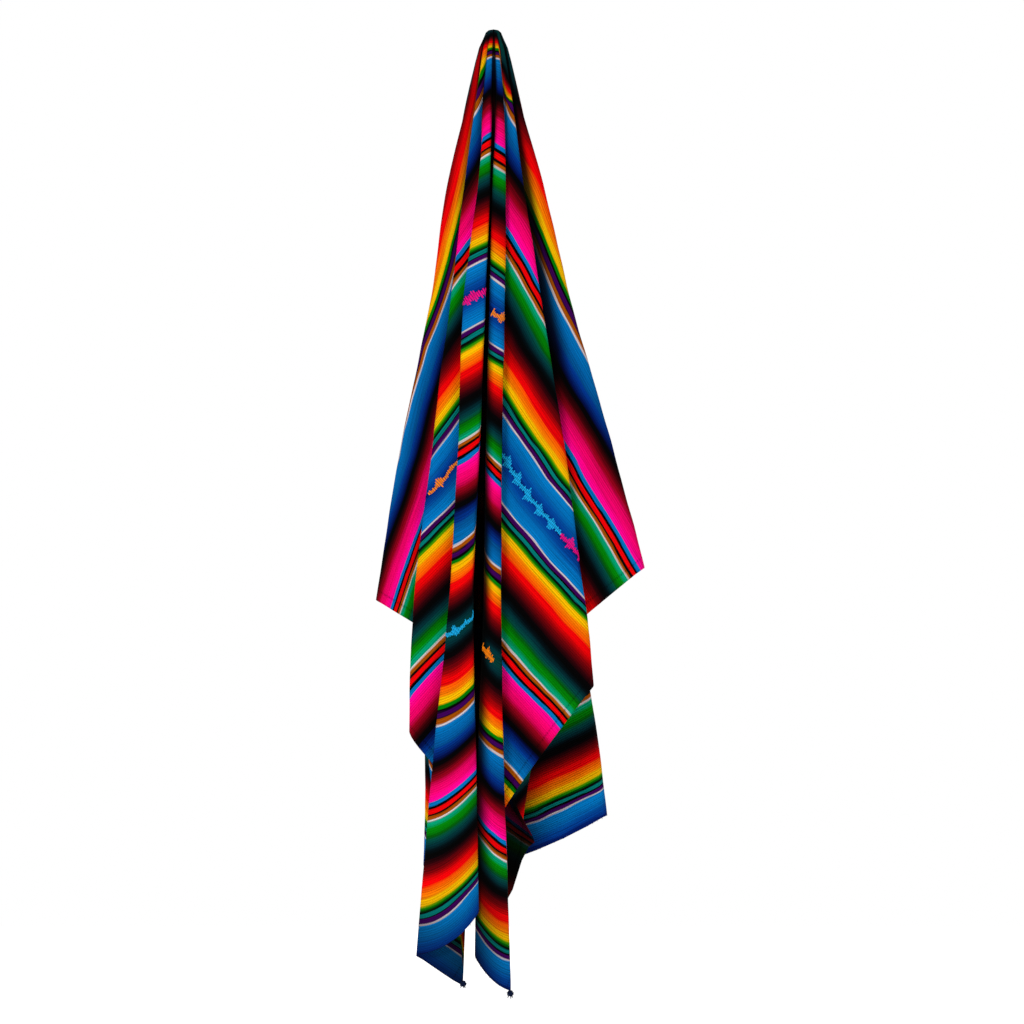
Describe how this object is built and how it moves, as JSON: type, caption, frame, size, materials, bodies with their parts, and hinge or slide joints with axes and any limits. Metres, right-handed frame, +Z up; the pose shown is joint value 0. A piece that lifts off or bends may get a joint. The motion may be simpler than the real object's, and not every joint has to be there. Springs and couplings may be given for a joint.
{
  "type": "hanging serape",
  "caption": "Striped hand-woven wool serape hung by one point near its middle, falling in long deep folds with stepped, pointed hems.",
  "frame": {"origin": "the hold point, at the top of the cloth on the middle of its wall, where a hook or a hand holds it up", "axes": "+Z up, -Y toward the viewer of the pictured side, +X to that viewer's right"},
  "size_m": [0.3479, 0.1837, 1.2544],
  "materials": {
    "woven_wool": "matt weft-faced weave with blue, pink, red, orange, yellow, green, purple and black stripes",
    "tied_wool_ends": "matt knotted yarn"
  },
  "bodies": {
    "root": {"serape_cloth": "woven_wool", "left_corner_knot": "tied_wool_ends", "right_corner_knot": "tied_wool_ends"}
  },
  "joints": []
}
